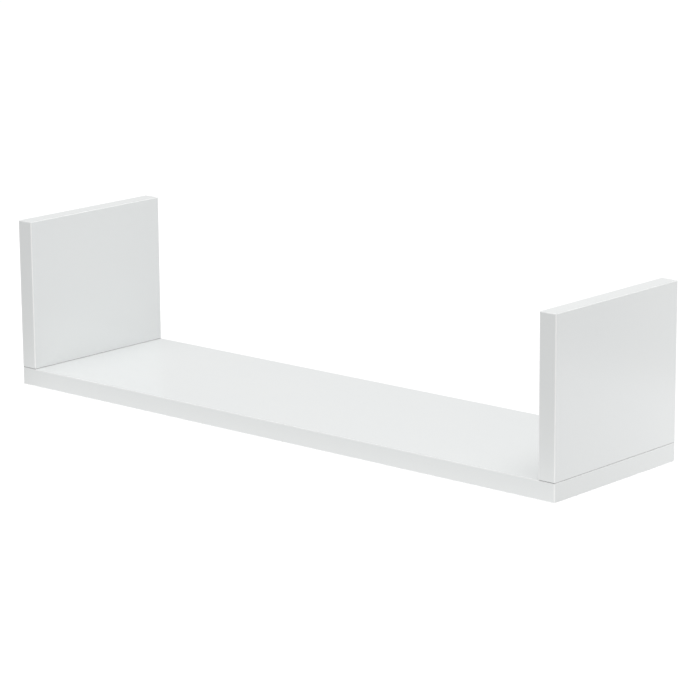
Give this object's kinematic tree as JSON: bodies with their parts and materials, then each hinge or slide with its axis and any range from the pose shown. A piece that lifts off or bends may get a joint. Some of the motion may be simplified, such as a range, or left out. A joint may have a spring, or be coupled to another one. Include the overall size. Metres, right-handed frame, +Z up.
{
  "type": "floating wall shelf",
  "caption": "U-shaped floating wall shelf: a faced chipboard base with an upright on each end, hung on two keyhole plates.",
  "frame": {"origin": "on the wall plane, midway between the centres of the two keyhole hangers' round entries", "axes": "+Z up, +Y into the wall, so the front of the shelf faces -Y; +X along the shelf, to the right seen from the front"},
  "size_m": [0.6, 0.16, 0.1512],
  "materials": {
    "white_melamine": "satin",
    "white_edge_band": "satin",
    "chipboard": "raw pressed chips",
    "zinc_plated_steel": "bright zinc",
    "white_cap": "moulded, satin",
    "beech": "raw turned wood"
  },
  "bodies": {
    "root": {"base_board": "chipboard", "base_top_skin": "white_melamine", "base_underside_skin": "white_melamine", "base_front_band": "white_edge_band", "base_rear_band": "white_edge_band", "base_left_band": "white_edge_band", "base_right_band": "white_edge_band", "left_upright_board": "chipboard", "left_upright_inner_skin": "white_melamine", "left_upright_outer_skin": "white_melamine", "left_upright_front_band": "white_edge_band", "left_upright_rear_band": "white_edge_band", "left_upright_top_band": "white_edge_band", "right_upright_board": "chipboard", "right_upright_inner_skin": "white_melamine", "right_upright_outer_skin": "white_melamine", "right_upright_front_band": "white_edge_band", "right_upright_rear_band": "white_edge_band", "right_upright_top_band": "white_edge_band", "left_front_connector_screw": "zinc_plated_steel", "left_rear_connector_screw": "zinc_plated_steel", "right_front_connector_screw": "zinc_plated_steel", "right_rear_connector_screw": "zinc_plated_steel", "left_front_cover_cap": "white_cap", "left_rear_cover_cap": "white_cap", "right_front_cover_cap": "white_cap", "right_rear_cover_cap": "white_cap", "left_front_dowel": "beech", "left_rear_dowel": "beech", "right_front_dowel": "beech", "right_rear_dowel": "beech", "left_hanger_plate": "zinc_plated_steel", "right_hanger_plate": "zinc_plated_steel", "left_hanger_lower_screw": "zinc_plated_steel", "left_hanger_upper_screw": "zinc_plated_steel", "right_hanger_lower_screw": "zinc_plated_steel", "right_hanger_upper_screw": "zinc_plated_steel"}
  },
  "joints": []
}
